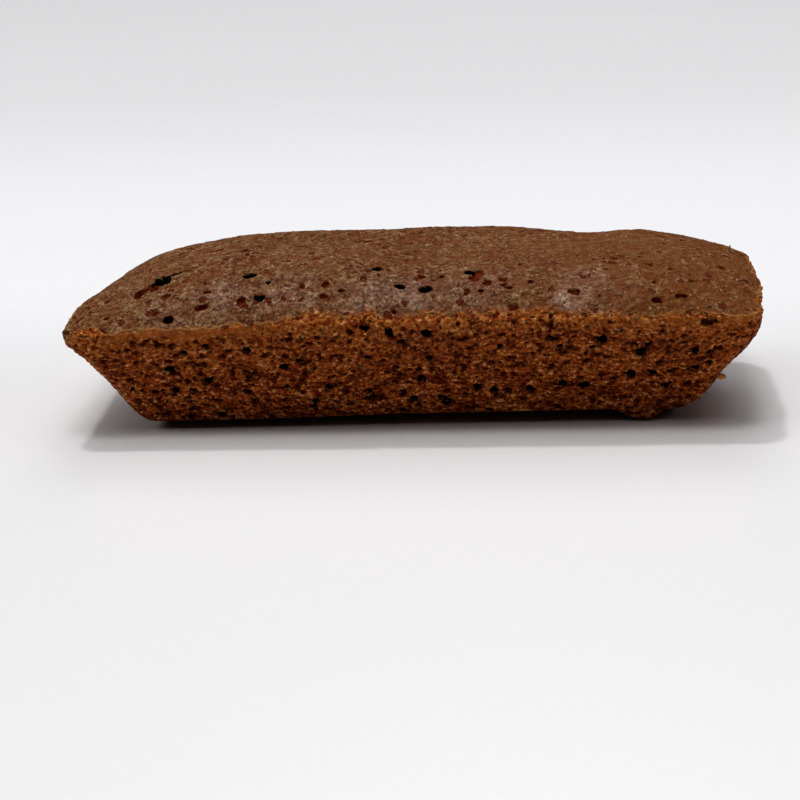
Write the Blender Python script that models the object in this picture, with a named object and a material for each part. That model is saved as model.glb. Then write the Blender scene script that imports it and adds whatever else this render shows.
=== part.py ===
"""Chocolate cake: one small bar cake, baked in a tin with flared sides.

Metres, +Z up. X runs along the cake, with its sagging, pointed end at -X. Its front faces
-Y, and the origin is on the surface it stands on, under its middle. It is one solid.
"""

import math

import bmesh
import bpy
from mathutils import Vector

MM = 0.001

# Driving dimensions.
RIM_LENGTH = 88.0 * MM  # the crust's edge, from end to end
RIM_WIDTH = 37.0 * MM
RIM_HEIGHT = 15.5 * MM
DOME_RISE = 5.8 * MM  # the crust's middle above its edge
DOME_LEAN = 0.13  # share by which the dome is higher towards its left end

# Powers of the dome's profile towards each side: a higher one is flatter on top and
# steeper at the edge.
DOME_SHOULDER = {"left": 4.8, "right": 6.0, "front": 4.6, "back": 4.6}

# On each side: how far the base lies inside the rim, the radius of the bottom edge, how
# far the wall bulges outside a straight flare, and the upright band under the rim.
BASE_INSET = {"left": 10.4 * MM, "right": 9.9 * MM, "front": 7.8 * MM, "back": 8.6 * MM}
BASE_EDGE = {"left": 2.0 * MM, "right": 3.8 * MM, "front": 3.6 * MM, "back": 2.6 * MM}
WALL_BULGE = {"left": 0.0 * MM, "right": 0.0 * MM, "front": 0.2 * MM, "back": 0.3 * MM}
RIM_BAND = {"left": 1.0 * MM, "right": 2.2 * MM, "front": 0.5 * MM, "back": 1.0 * MM}
BAND_SOFTNESS = 1.2 * MM
BASE_TURN = math.radians(1.0)  # the base lies turned this far under the rim

# Corners seen from above: the radius at the rim, which shrinks towards the base, and how
# far the rim sags there.
CORNERS = {
    ("left", "front"): 3.2 * MM,
    ("right", "front"): 3.6 * MM,
    ("right", "back"): 6.0 * MM,
    ("left", "back"): 12.0 * MM,
}
BASE_CORNER_SHARE = 0.75
SAG = {
    ("left", "front"): 1.3 * MM,
    ("right", "front"): 0.0 * MM,
    ("right", "back"): -0.1 * MM,
    ("left", "back"): 2.0 * MM,
}

# Unevenness of a baked thing: gentle swells and dips of the crust, as
# (x, y, reach, height), and a wave that runs along the rim and the walls.
CRUST_SWELLS = (
    (-21 * MM, -4 * MM, 7 * MM, 0.30 * MM),
    (3 * MM, -6 * MM, 8 * MM, -0.30 * MM),
    (5 * MM, 8 * MM, 7 * MM, 0.40 * MM),
    (23 * MM, 9 * MM, 5 * MM, -0.75 * MM),
    (29 * MM, 10 * MM, 4 * MM, 0.35 * MM),
    (33 * MM, -4 * MM, 7 * MM, 0.30 * MM),
)
SWELL_FADE = 3.0  # swells fade out towards the rim, the more narrowly the higher this is
WAVE_HEIGHT = 0.16 * MM
WAVE_LENGTHS = (29 * MM, 17 * MM, 11 * MM)
WAVE_PHASE = 1.7  # radians between one length and the next
WAVE_GROWTH = 1.5  # the wave is full from 1 / 1.5 of the way up, and gone at the base

# Rows of faces along, across and up the cake.
CUTS_ALONG, CUTS_ACROSS, CUTS_UP = 50, 23, 13
EDGE_CROWDING = 0.4  # 0 spaces the rows evenly, 1 crowds them hard towards the rim


def side_of(u, negative, positive):
    """One of two values, by which side of the middle a place is on."""
    return negative if u < 0 else positive


def crowded(u):
    """A place from -1 to 1 along an axis, moved towards the nearer end."""
    return (1 - EDGE_CROWDING) * u + EDGE_CROWDING * u * (1.5 - 0.5 * u * u)


def wave(along):
    """A slow wave made of a few lengths, between about -1 and 1."""
    parts = (
        math.sin(math.tau * along / length + WAVE_PHASE * i) for i, length in enumerate(WAVE_LENGTHS)
    )
    return sum(parts) / len(WAVE_LENGTHS)


def rounded_edge(height, radius):
    """How far a quarter-round edge of that radius draws in at this height above its foot."""
    if height >= radius:
        return 0.0
    drop = 1 - height / radius
    return radius * (1 - math.sqrt(max(0.0, 1 - drop * drop)))


def soft_ramp(t, softness):
    """0 for a t well below 0, t for a t well above it, and a round bend between."""
    return (t + math.hypot(t, softness)) / 2


def inset_at(side, share, height, rim):
    """How far the wall on one side stands inside the rim, at a share of the way up."""
    band = RIM_BAND[side]
    below_band = soft_ramp(rim - height - band, BAND_SOFTNESS) - soft_ramp(-band, BAND_SOFTNESS)
    flare = BASE_INSET[side] * below_band / (rim - band)
    bulge = WALL_BULGE[side] * 4 * share * (1 - share)
    return flare - bulge + rounded_edge(height, BASE_EDGE[side])


def in_outline(u, v, share, height, rim):
    """The x and y of a point of the level whose outline is a rectangle with round corners."""
    left = -RIM_LENGTH / 2 + inset_at("left", share, height, rim)
    right = RIM_LENGTH / 2 - inset_at("right", share, height, rim)
    front = -RIM_WIDTH / 2 + inset_at("front", share, height, rim)
    back = RIM_WIDTH / 2 - inset_at("back", share, height, rim)
    x = left + (right - left) * (u + 1) / 2
    y = front + (back - front) * (v + 1) / 2
    end, face = side_of(u, "left", "right"), side_of(v, "front", "back")
    radius = CORNERS[end, face] * (BASE_CORNER_SHARE + (1 - BASE_CORNER_SHARE) * share)
    along, across = side_of(u, -1, 1), side_of(v, -1, 1)
    centre_x = side_of(u, left, right) - along * radius
    centre_y = side_of(v, front, back) - across * radius
    beyond_x = max(0.0, along * (x - centre_x)) / radius
    beyond_y = max(0.0, across * (y - centre_y)) / radius
    if beyond_x and beyond_y:  # squares this corner's patch onto a quarter disc
        x = centre_x + along * radius * beyond_x * math.sqrt(1 - beyond_y**2 / 2)
        y = centre_y + across * radius * beyond_y * math.sqrt(1 - beyond_x**2 / 2)
    return x, y + x * math.tan(BASE_TURN) * (1 - share)


def sag(u, v):
    """How far the rim lies lower than its full height, over its corners."""
    end = side_of(u, "left", "right")
    return u * u * ((1 - v) * SAG[end, "front"] + (1 + v) * SAG[end, "back"]) / 2


def dome(u, v, x, y):
    """The crust's height above the rim."""
    along = 1 - abs(u) ** DOME_SHOULDER[side_of(u, "left", "right")]
    across = 1 - abs(v) ** DOME_SHOULDER[side_of(v, "front", "back")]
    rise = DOME_RISE * along * across * (1 - DOME_LEAN * u)
    fade = min(1.0, SWELL_FADE * (1 - u * u) * (1 - v * v))
    for swell_x, swell_y, reach, height in CRUST_SWELLS:
        apart = ((x - swell_x) ** 2 + (y - swell_y) ** 2) / reach**2
        rise += fade * height * math.exp(-apart)
    return rise


def on_cake(u, v, w):
    """The point of the cake that a point of the cube from -1 to 1 becomes."""
    u, v = crowded(u), crowded(v)
    share = 0.5 + 0.5 * math.sin(math.pi / 2 * w)  # rows crowd at the base's edge and the lip
    rim = RIM_HEIGHT - sag(u, v) + WAVE_HEIGHT * wave(u * RIM_LENGTH / 2 + v * RIM_WIDTH)
    height = rim * share
    x, y = in_outline(u, v, share, height, rim)
    bump = WAVE_HEIGHT * wave(x + 3 * y + height) * min(1.0, WAVE_GROWTH * share)
    if w == 1:
        height += dome(u, v, x, y)
    return Vector((x + bump * u**3, y + bump * v**3, height))


def cut_rows(mesh, axis, cuts):
    """Cuts every edge that runs along an axis into cuts + 1 pieces."""
    running = [e for e in mesh.edges if abs((e.verts[0].co - e.verts[1].co)[axis]) > 1.0]
    bmesh.ops.subdivide_edges(mesh, edges=running, cuts=cuts, use_grid_fill=True)


def cake_mesh():
    """A cube of even rows of faces, with each of its points moved onto the cake."""
    mesh = bmesh.new()
    bmesh.ops.create_cube(mesh, size=2)
    for axis, cuts in enumerate((CUTS_ALONG, CUTS_ACROSS, CUTS_UP)):
        cut_rows(mesh, axis, cuts)
    for point in mesh.verts:
        point.co = on_cake(*point.co)
    made = bpy.data.meshes.new("cake")
    mesh.to_mesh(made)
    mesh.free()
    made.shade_smooth()
    return made


def crumb_material():
    material = bpy.data.materials.new("chocolate crumb")
    material.use_nodes = True
    shader = material.node_tree.nodes["Principled BSDF"]
    shader.inputs["Base Color"].default_value = (0.13, 0.055, 0.022, 1)
    shader.inputs["Roughness"].default_value = 0.75
    shader.inputs["Metallic"].default_value = 0.0
    return material


def main():
    for old in list(bpy.data.objects):
        bpy.data.objects.remove(old)
    collection = bpy.data.collections.new("chocolate cake")
    bpy.context.scene.collection.children.link(collection)
    cake = bpy.data.objects.new("cake", cake_mesh())
    cake.data.materials.append(crumb_material())
    collection.objects.link(cake)


main()
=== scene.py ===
"""Chocolate cake: the looks of a small bar cake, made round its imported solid.

The cake is two close-fitting pieces, the brown crust on top and the open crumb of the sides
and the underside, with loose crumbs that cling to them. The crumb is a foam: its pores are
bubbles that the tin's wall cuts open. Lengths in mesh code are millimetres, and Blender's
own are metres.
"""

import itertools
import math

import bmesh
import bpy
import numpy as np
from bpy.props import FloatProperty, FloatVectorProperty, IntProperty, PointerProperty
from bpy.types import Operator, Panel, PropertyGroup
from mathutils import Matrix, Vector
from mathutils.kdtree import KDTree


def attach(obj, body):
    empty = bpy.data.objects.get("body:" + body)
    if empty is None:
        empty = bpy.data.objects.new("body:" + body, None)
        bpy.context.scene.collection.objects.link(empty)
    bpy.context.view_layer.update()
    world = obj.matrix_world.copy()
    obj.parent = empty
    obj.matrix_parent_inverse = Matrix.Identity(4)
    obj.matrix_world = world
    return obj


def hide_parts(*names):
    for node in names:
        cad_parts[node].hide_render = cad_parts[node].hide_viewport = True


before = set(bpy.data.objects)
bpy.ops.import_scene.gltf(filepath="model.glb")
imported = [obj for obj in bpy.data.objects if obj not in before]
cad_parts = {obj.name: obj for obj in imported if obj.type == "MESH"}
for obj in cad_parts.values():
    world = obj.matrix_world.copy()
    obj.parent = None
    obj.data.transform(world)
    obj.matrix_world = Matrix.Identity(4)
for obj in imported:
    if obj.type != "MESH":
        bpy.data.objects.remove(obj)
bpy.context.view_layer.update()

bl_info = {
    "name": "Chocolate Cake",
    "version": (1, 0, 0),
    "blender": (4, 5, 0),
    "location": "View3D > Sidebar > Chocolate Cake",
    "description": "Bakes a small chocolate bar cake with a domed crust and an open crumb",
    "category": "Object",
}

NODE = "cake"
MM = 0.001
HALF_LENGTH, HALF_WIDTH = 44.0, 18.6  # of the crust's edge

# Where the crumb's inner top and the crust's inner floor lie, hidden in the cake.
CRUMB_TOP = 12.9
CRUST_FLOOR = 12.2
DRAW_IN = 3.0  # how far those hidden faces are drawn in from the cake's outside
SEAM_REACH = 1.2  # how far each piece runs on under the other one

# The rim is the solid's one edge above this height that turns by more than this angle.
RIM_LOWEST = 10.0
RIM_TURN = 0.45
RIM_STEPS = 20  # points along each of its edges

# The foot: where the walls would meet the ground, and for each side the radius of the
# solid's bottom edge, how much of that rounding is filled out to a crisp edge, and how far
# that edge is lifted off the ground.
FOOT_X, FOOT_Y = (-33.6, 34.1), (-10.7, 9.9)
FOOT_TURN = 1.0
FOOT_SIDES = {  # radius, filled out, lifted
    "left": (2.0, 1.0, 0.9),
    "right": (3.8, 0.6, 0.9),
    "front": (3.6, 1.5, 1.6),
    "back": (2.6, 0.6, 0.7),
}
FOOT_LUMP = (27.4, 30.2)  # where the front edge comes down to the ground, along x
LIFT_REACH = 5.0  # how far in under the cake the lifted edge reaches
MOST_LIFT = 2.0

# Small swellings of the surface: centre, reach, and how far it moves there.
SWELLINGS = (
    ((-43.6, -17.2, 15.6), 2.4, (0.05, -0.15, 1.1)),
    ((-43.8, -16.3, 13.4), 2.2, (-0.15, -0.2, -0.5)),
    ((-44.0, -9.5, 14.5), 5.5, (0.0, 0.0, 1.0)),
    ((-44.0, -1.5, 14.0), 4.0, (0.0, 0.0, 0.5)),
    ((-42.5, 10.5, 15.0), 4.5, (0.0, 0.0, -0.7)),
    ((-36.0, -11.9, 3.2), 3.2, (-0.45, -0.2, -0.35)),
    ((43.5, -6.0, 17.6), 4.5, (0.45, 0.0, -0.05)),
    ((43.5, 5.0, 17.6), 4.5, (0.35, 0.0, -0.15)),
    ((43.9, -4.0, 15.4), 4.5, (0.25, 0.0, 0.7)),
    ((43.9, 5.0, 15.4), 5.0, (0.1, 0.0, 0.5)),
    ((42.0, -13.5, 11.0), 4.5, (0.25, -0.1, -0.3)),
    ((36.8, -10.6, 4.0), 3.0, (0.35, -0.15, -0.3)),
)

# Where the crust is rubbed away at the rim, or hangs over it: x, y, reach, and how far up
# the crust the crumb shows.
WORN_SPOTS = (
    (-44.6, -16.8, 2.2, -2.4),
    (-40.1, -18.4, 1.3, 2.2),
    (-12.0, -18.6, 4.5, 0.9),
    (-5.0, -18.6, 4.0, 0.8),
    (3.0, -18.6, 4.0, 0.8),
    (10.0, -18.6, 4.0, 0.8),
    (17.0, -18.6, 4.0, 0.9),
    (25.0, -18.6, 4.0, 0.6),
    (36.0, -18.6, 4.0, 0.5),
    (43.0, -12.0, 3.0, 0.5),
    (44.0, 6.0, 4.0, 0.4),
    (31.0, 18.6, 4.0, 0.9),
    (6.0, 18.6, 6.0, 0.7),
    (-21.0, 18.6, 5.0, 0.9),
    (-43.0, 4.0, 4.0, 0.5),
)

# How much longer and wider than their marks the holes are made: on the crust, whose edges
# crumble, and on the walls, which lean.
CRUST_MARKS = (0.9, 0.95)
LEANING = (1.1, 1.5)

# Holes in the crust: x, y, length, width, turn in degrees, depth.
CRUST_HOLES = (
    (-31.8, -10.2, 2.7, 2.9, 30, 2.4),
    (-29.6, -8.8, 3.8, 1.1, 20, 1.6),
    (-30.0, -17.3, 1.4, 1.2, 10, 1.6),
    (-20.3, -12.0, 1.8, 1.3, 10, 1.8),
    (-18.6, -15.9, 1.5, 1.0, 0, 1.8),
    (-17.7, -13.6, 0.7, 0.7, 0, 1.0),
    (-4.2, -11.1, 1.4, 1.1, 0, 1.5),
    (-1.1, -14.6, 1.5, 1.0, -20, 1.5),
    (2.2, -15.1, 1.9, 1.1, 10, 1.8),
    (4.3, -13.0, 0.8, 0.7, 0, 1.1),
    (7.6, -12.1, 1.6, 1.3, 0, 1.8),
    (9.2, -15.4, 0.8, 0.6, 0, 1.2),
    (-14.0, 9.0, 1.2, 0.8, 30, 1.3),
    (11.0, 12.0, 1.4, 0.9, -40, 1.6),
    (24.0, 7.0, 0.9, 0.7, 0, 1.1),
    (33.0, 13.0, 1.2, 0.8, 15, 1.3),
    (-32.0, 10.0, 1.0, 0.8, 0, 1.2),
    (-3.0, 15.0, 1.5, 0.8, 0, 1.4),
)

# Shallow pits, in the same terms, where the skin is broken and the moist crumb shows; they
# are painted dark red, the crumb's colour with painted shade.
CRUST_PITS = (
    (-34.1, -12.1, 3.8, 1.5, 50, 1.1),
    (-25.8, -16.3, 1.8, 0.9, 20, 0.4),
    (-25.4, -14.4, 1.1, 0.7, 0, 0.35),
    (-20.9, -16.1, 1.2, 1.0, 0, 0.4),
    (-10.4, -14.2, 1.1, 0.9, 0, 0.35),
    (-10.5, -15.7, 1.4, 0.8, 0, 0.35),
    (-8.4, -15.1, 1.0, 0.8, 0, 0.4),
    (1.6, -13.0, 1.4, 0.9, 0, 0.35),
    (12.6, -15.0, 1.0, 0.6, 0, 0.5),
    (15.3, -14.1, 1.1, 0.9, 0, 0.4),
    (30.9, -16.5, 1.9, 1.1, -15, 0.5),
    (33.9, -15.7, 1.8, 1.0, 0, 0.5),
    (-26.4, 0.4, 2.6, 1.0, 0, 0.3),
    (-22.2, -2.4, 1.6, 1.6, 0, 0.35),
    (-7.0, 1.8, 2.6, 0.8, 0, 0.4),
)

# Holes in the front: x, z, width, height, turn in degrees, depth. From this depth on they
# are painted near black inside: painted shade.
PAINTED_SHADE_DEPTH = 1.0
FRONT_HOLES = (
    (-28.3, 11.57, 1.0, 0.6, 0, 1.0),
    (-25.6, 12.47, 0.9, 0.6, 0, 1.0),
    (-20.4, 11.77, 1.1, 0.6, 10, 1.2),
    (-30.4, 8.87, 1.6, 0.7, -25, 1.6),
    (-28.5, 7.27, 0.9, 0.7, 0, 1.3),
    (-25.9, 7.17, 1.2, 0.9, 0, 1.5),
    (-32.7, 5.67, 0.9, 0.6, 0, 1.1),
    (-30.2, 5.87, 1.0, 0.8, -30, 1.3),
    (-27.9, 5.67, 1.1, 0.6, 0, 1.2),
    (-20.9, 5.37, 1.1, 0.6, 0, 1.3),
    (-20.2, 3.97, 0.8, 0.7, 0, 1.2),
    (-24.7, 1.97, 0.9, 0.7, 0, 1.2),
    (-15.9, 9.17, 1.6, 0.7, 25, 1.5),
    (-14.0, 10.07, 0.9, 0.5, 10, 1.0),
    (-15.9, 6.07, 0.9, 0.6, 0, 1.2),
    (-10.6, 5.78, 1.0, 0.6, 0, 1.2),
    (-12.4, 3.77, 0.9, 0.7, 0, 1.3),
    (-5.3, 14.9, 1.3, 1.3, 0, 1.2),
    (-7.2, 14.25, 1.0, 0.6, 0, 0.9),
    (-2.3, 13.95, 0.9, 1.4, 10, 1.3),
    (-0.9, 12.55, 0.9, 0.7, 0, 1.4),
    (2.3, 13.75, 1.4, 1.0, 20, 1.3),
    (2.6, 10.05, 1.1, 0.9, 0, 1.7),
    (1.3, 6.78, 1.1, 1.1, 0, 1.9),
    (-5.6, 5.18, 1.0, 0.6, 0, 1.2),
    (-5.1, 4.18, 2.0, 0.7, 5, 1.7),
    (0.2, 3.88, 1.0, 0.8, 0, 1.6),
    (4.0, 3.78, 1.7, 0.7, -30, 1.6),
    (8.2, 5.38, 1.12, 1.04, 0, 1.4),
    (10.4, 4.98, 1.25, 0.78, 0, 1.3),
    (11.4, 11.75, 0.8, 0.6, 0, 1.0),
    (15.1, 4.88, 1.25, 0.78, 0, 1.2),
    (19.1, 5.78, 1.12, 0.91, 0, 1.3),
    (21.7, 5.48, 1.38, 0.91, 0, 1.3),
    (17.9, 15.2, 0.5, 1.7, 0, 0.9),
    (24.0, 12.45, 2.0, 0.7, -12, 1.9),
    (29.0, 10.45, 1.6, 1.0, 30, 2.0),
    (29.9, 11.55, 1.2, 0.5, 50, 1.4),
    (27.6, 7.08, 1.3, 0.9, 35, 1.8),
    (30.3, 7.28, 1.4, 0.6, 0, 1.5),
    (31.3, 6.68, 0.7, 0.5, 0, 1.1),
    (32.0, 5.18, 1.6, 0.8, 25, 1.7),
    (35.7, 7.98, 1.5, 0.6, 5, 1.5),
    (37.3, 8.65, 1.0, 0.7, 15, 1.4),
    (35.7, 10.55, 0.9, 0.8, 0, 1.4),
    (37.3, 10.35, 1.1, 0.5, 0, 1.2),
    (37.2, 14.9, 2.2, 1.1, 0, 0.8),
    (-5.2, 10.2, 0.7, 0.5, 0, 1.0),
    (4.3, 3.0, 1.1, 0.5, 0, 1.0),
    (13.4, 8.9, 3.4, 0.4, 20, 0.6),
    (17.7, 12.8, 1.4, 0.45, -30, 1.1),
    (22.9, 11.4, 0.8, 0.5, 0, 1.1),
    (22.1, 10.5, 0.5, 0.8, -30, 1.0),
    (18.8, 11.5, 0.8, 0.5, 0, 1.0),
    (12.2, 4.9, 0.8, 0.6, 0, 1.0),
)

# The other walls get holes of the same kind: which way each wall faces, the coordinate that
# runs along it, how far it reaches either way, and how many holes it has.
OTHER_WALLS = (
    ((0, 1), 0, 35.0, 44),
    ((-1, 0), 1, 12.5, 15),
    ((1, 0), 1, 12.5, 15),
)

# Bubbles in the crumb and pricks in the crust: spacing, smallest and largest radius, share
# of the grid's cells that hold one, flattening in height, salt.
CRUMB_BUBBLES = (
    (3.4, (0.35, 0.8), 0.5, 0.6, 40),
    (1.0, (0.22, 0.6), 0.9, 0.62, 50),
    (0.6, (0.14, 0.33), 0.9, 0.7, 60),
)
CRUST_PRICKS = (
    (2.1, (0.25, 0.85), 0.6, 1.0, 130),
    (0.8, (0.12, 0.3), 0.6, 1.0, 140),
)
DEEPEST_PORE = 1.3
DEEPEST_PRICK = 0.45

# Where the crust is a little moist and glossy, its sheen painted in as a pale film: x, y, reach,
# strength.
MOIST_SHEEN_SPOTS = (
    (-30.5, -16.6, 2.6, 0.4),
    (-23.5, -15.6, 3.3, 0.5),
    (-15.0, -16.2, 3.3, 0.45),
    (-4.5, -16.2, 3.2, 0.55),
    (0.8, -16.2, 2.6, 0.65),
    (8.5, -15.4, 3.8, 0.4),
    (19.7, -16.3, 1.2, 1.5),
    (21.5, -15.0, 4.2, 0.35),
)

# The lamps: name, place, size, power. The key light is small, and it throws the sharp shadow.
LAMPS = (
    ("key", (-0.32, 0.34, 2.0), 0.17, 13.5),
    ("front softbox", (0.0, -0.41, 1.55), 0.4, 6.2),
    ("top softbox", (0.0, 0.0, 1.6), 2.2, 17.0),
    ("back light", (0.0, 1.2, 1.2), 0.8, 7.0),
    ("left light", (-1.3, -0.3, 1.0), 0.8, 4.4),
    ("right light", (1.3, -0.3, 1.0), 0.8, 0.8),
)

# The small loose crumbs: the heights between which they cling to the walls, the height above
# which they cling to the crust, and the share of them on each.
WALL_CRUMBS, WALL_SHARE = (1.5, 14.5), 0.85
CRUST_CRUMBS, CRUST_SHARE = 16.5, 0.15
ROUND_CRUMB = 0.2  # the size from which a crumb is made rounder

# The larger crumbs that cling to the cake: x, y, z, size. Those below this height cling to
# the walls, and the others to the crust.
HIGHEST_ON_WALL = 12
STUCK_CRUMBS = (
    (38.7, -11.9, 6.4, 0.62),
    (37.9, 15.5, 17.2, 0.2),
    (41.6, 14.6, 16.6, 0.2),
    (-17.5, -18.0, 4.0, 0.24),
    (9.0, -17.2, 12.0, 0.3),
    (7.4, -17.0, 12.2, 0.24),
)

# What the bake's charts span: along the cake, across it, up its walls, and over the crust.
LONG_WAY, WIDE, TALL = (-45.0, 45.0), (-20.0, 20.0), (-0.5, 18.5)
CRUST_SPAN = (-48, 48), (-23, 23)


# ---------------------------------------------------------------- fields over the surface


def hashed(cells, salt):
    """A whole number for each whole-numbered cell, always the same for the same salt."""
    x, y, z = (cells[:, axis].astype(np.int64).astype(np.uint32) for axis in range(3))
    mixed = x * np.uint32(73856093) ^ y * np.uint32(19349663) ^ z * np.uint32(83492791)
    mixed ^= np.uint32(salt * 2654435761 % 2**32)
    for shift, factor in ((15, 2246822519), (13, 3266489917)):
        mixed = (mixed ^ (mixed >> np.uint32(shift))) * np.uint32(factor)
    return mixed ^ (mixed >> np.uint32(16))


def shares(cells, salt):
    """Three numbers from 0 to 1 for each cell."""
    mixed = hashed(cells, salt)
    parts = [(mixed >> np.uint32(shift)) & np.uint32(1023) for shift in (0, 10, 20)]
    return np.stack(parts, axis=1) / 1023.0


def noise(points, size, salt):
    """Smooth noise, from about -1 to 1, with blobs of this size."""
    scaled = points / size
    cell = np.floor(scaled)
    part = scaled - cell
    ease = part**3 * (part * (part * 6 - 15) + 10)
    total = np.zeros(len(points))
    for corner in itertools.product((0, 1), repeat=3):
        weight = np.where(corner, ease, 1 - ease).prod(axis=1)
        slope = shares(cell + corner, salt) * 2 - 1
        total += weight * ((part - corner) * slope).sum(axis=1)
    return total * 1.8


def warp(points, size, salt):
    """A smooth push in each direction, from about -1 to 1."""
    return np.stack([noise(points, size, salt + axis) for axis in range(3)], axis=1)


def stepped(low, high, value):
    """0 up to low, 1 from high, and a smooth step between."""
    part = np.clip((value - low) / (high - low), 0, 1)
    return part * part * (3 - 2 * part)


def spotted(points, spots, start=0.0):
    """Soft round spots, each given by its x, y, reach and strength, added to a start."""
    total = np.zeros(len(points)) + start
    for x, y, reach, strength in spots:
        apart = ((points[:, 0] - x) ** 2 + (points[:, 1] - y) ** 2) / reach**2
        total += strength * np.exp(-apart)
    return total


def bubbles(points, normals, spacing, radii, share, flat, salt):
    """How deep the foam's open bubbles reach below each point of its cut surface.

    Bubbles are spheres, one to a cell of a grid, flattened in height. A point that lies in
    one sinks along its normal to the bubble's far wall.
    """
    shape = np.array((1.0, 1.0, flat))
    at, inward = points / shape, normals / shape
    steep = (inward**2).sum(axis=1)
    cell = np.floor(at / spacing)
    depth = np.zeros(len(points))
    for step in itertools.product((-1, 0, 1), repeat=3):
        near = cell + step
        away = at - (near + 0.1 + 0.8 * shares(near, salt)) * spacing
        sort = shares(near, salt + 1)
        radius = radii[0] + (radii[1] - radii[0]) * sort[:, 0] ** 2
        inside = radius**2 - (away**2).sum(axis=1)
        along = (away * inward).sum(axis=1)
        wall = (along + np.sqrt(np.maximum(along**2 + steep * inside, 0))) / steep
        depth = np.maximum(depth, np.where((inside > 0) & (sort[:, 1] < share), wall, 0))
    return depth


def granules(points, spacing, salt):
    """Packed granules: 0 in the creases between them and up to 1 at the heart of each, and
    a tone from 0 to 1 for each granule."""
    at = points / spacing
    cell = np.floor(at)
    first = np.full(len(points), 9.0)
    second = first.copy()
    tone = np.zeros(len(points))
    for step in itertools.product((-1, 0, 1), repeat=3):
        near = cell + step
        apart = np.linalg.norm(at - near - 0.05 - 0.9 * shares(near, salt), axis=1)
        closer = apart < first
        second = np.where(closer, first, np.minimum(second, apart))
        tone = np.where(closer, shares(near, salt + 1)[:, 0], tone)
        first = np.where(closer, apart, first)
    return np.clip(second - first, 0, 1), tone


def scattered_holes(reach, count, seed):
    """Marks for holes of mixed sizes at random places on a wall."""
    rng = np.random.default_rng(seed)
    marks = []
    for _ in range(count):
        length = 0.7 + 1.0 * rng.random() ** 2
        width = length * rng.uniform(0.5, 0.8)
        spot = rng.uniform(-reach, reach), rng.uniform(1.8, 13.0)
        marks.append((*spot, length, width, rng.uniform(-35, 35), rng.uniform(1.0, 1.7)))
    return marks


def dents(points, normals, axes, marks, ragged, grow=(1.0, 1.0)):
    """How deep the marked holes are at each point. A mark's place is given by two of the
    coordinates, and its length and width, each times grow, are measured along the surface."""
    depth = np.zeros(len(points))
    for first, second, length, width, turn, deep in marks:
        apart = np.hypot(points[:, axes[0]] - first, points[:, axes[1]] - second)
        heart = int(apart.argmin())
        normal = normals[heart]
        level = 1 if abs(normal[0]) > 0.6 else 0
        right = np.eye(3)[level] - normal * normal[level]
        right /= np.linalg.norm(right)
        above = np.cross(normal, right)
        c, s = math.cos(math.radians(turn)), math.sin(math.radians(turn))
        away = points - points[heart]
        along = away @ (right * c + above * s)
        aside = away @ (above * c - right * s)
        across = along * 2 / (length * grow[0])
        far = np.hypot(across, aside * 2 / (width * grow[1])) + ragged
        near = np.abs(away @ normal) < 1.5
        depth = np.maximum(depth, deep * near * (1 - stepped(0.65, 1.1, far)))
    return depth


# ---------------------------------------------------------------- mesh helpers


def deselect_all():
    """Selects nothing, so that the next operator acts on what it makes or is given."""
    for other in bpy.context.selected_objects:
        other.select_set(False)


def take(piece):
    """Makes a piece the only selected object, and the active one."""
    deselect_all()
    bpy.context.view_layer.objects.active = piece
    piece.select_set(True)


def apply_modifier(piece, kind, **settings):
    """Adds a modifier with these settings to a piece and applies it."""
    take(piece)
    modifier = piece.modifiers.new(kind.title(), kind)
    for name, value in settings.items():
        setattr(modifier, name, value)
    bpy.ops.object.modifier_apply(modifier=modifier.name)


def read(piece, what="co"):
    """The places or the normals of a mesh's vertices, places in millimetres."""
    mesh = piece.data
    source, name, scale = {
        "co": (mesh.vertices, "co", 1 / MM),
        "normal": (mesh.vertex_normals, "vector", 1.0),
    }[what]
    values = np.empty(len(mesh.vertices) * 3, np.float32)
    source.foreach_get(name, values)
    return values.reshape(-1, 3).astype(float) * scale


def place(piece, points):
    """Moves a mesh's vertices to places in millimetres."""
    piece.data.vertices.foreach_set("co", (points * MM).astype(np.float32).ravel())
    piece.data.update()


def paint(piece, name, values, limits=(0, 1)):
    """Stores a number for each vertex, for the piece's material or for a later step."""
    attribute = piece.data.attributes.new(name, "FLOAT", "POINT")
    kept = values if limits is None else np.clip(values, *limits)
    attribute.data.foreach_set("value", kept.astype(np.float32))


def painted(piece, name):
    """The numbers that were stored for each vertex."""
    values = np.empty(len(piece.data.vertices), np.float32)
    piece.data.attributes[name].data.foreach_get("value", values)
    return values.astype(float)


def triangle_count(mesh):
    """How many triangles a mesh has, its larger faces split up."""
    corners = np.empty(len(mesh.polygons), np.int32)
    mesh.polygons.foreach_get("loop_total", corners)
    return int(corners.sum() - 2 * len(corners))


def merged_copy(name):
    """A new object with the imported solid's mesh, its loose triangles joined."""
    piece = bpy.data.objects.new(name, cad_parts[NODE].data.copy())
    piece.data.name = name
    piece.data.materials.clear()
    bpy.context.scene.collection.objects.link(piece)
    take(piece)
    bpy.ops.object.mode_set(mode="EDIT")
    bpy.ops.mesh.select_all(action="SELECT")
    bpy.ops.mesh.remove_doubles(threshold=1e-6)
    bpy.ops.mesh.tris_convert_to_quads()
    bpy.ops.object.mode_set(mode="OBJECT")
    return piece


def rim_tree(piece):
    """A search tree over the rim, the one sharp edge high up on the solid."""
    mesh = bmesh.new()
    mesh.from_mesh(piece.data)
    points = []
    for edge in mesh.edges:
        low = min(v.co.z for v in edge.verts)
        if low > RIM_LOWEST * MM and edge.calc_face_angle(0) > RIM_TURN:
            ends = [v.co / MM for v in edge.verts]
            points += [ends[0].lerp(ends[1], i / RIM_STEPS) for i in range(RIM_STEPS)]
    mesh.free()
    tree = KDTree(len(points))
    for index, point in enumerate(points):
        tree.insert(point, index)
    tree.balance()
    return tree


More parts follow.
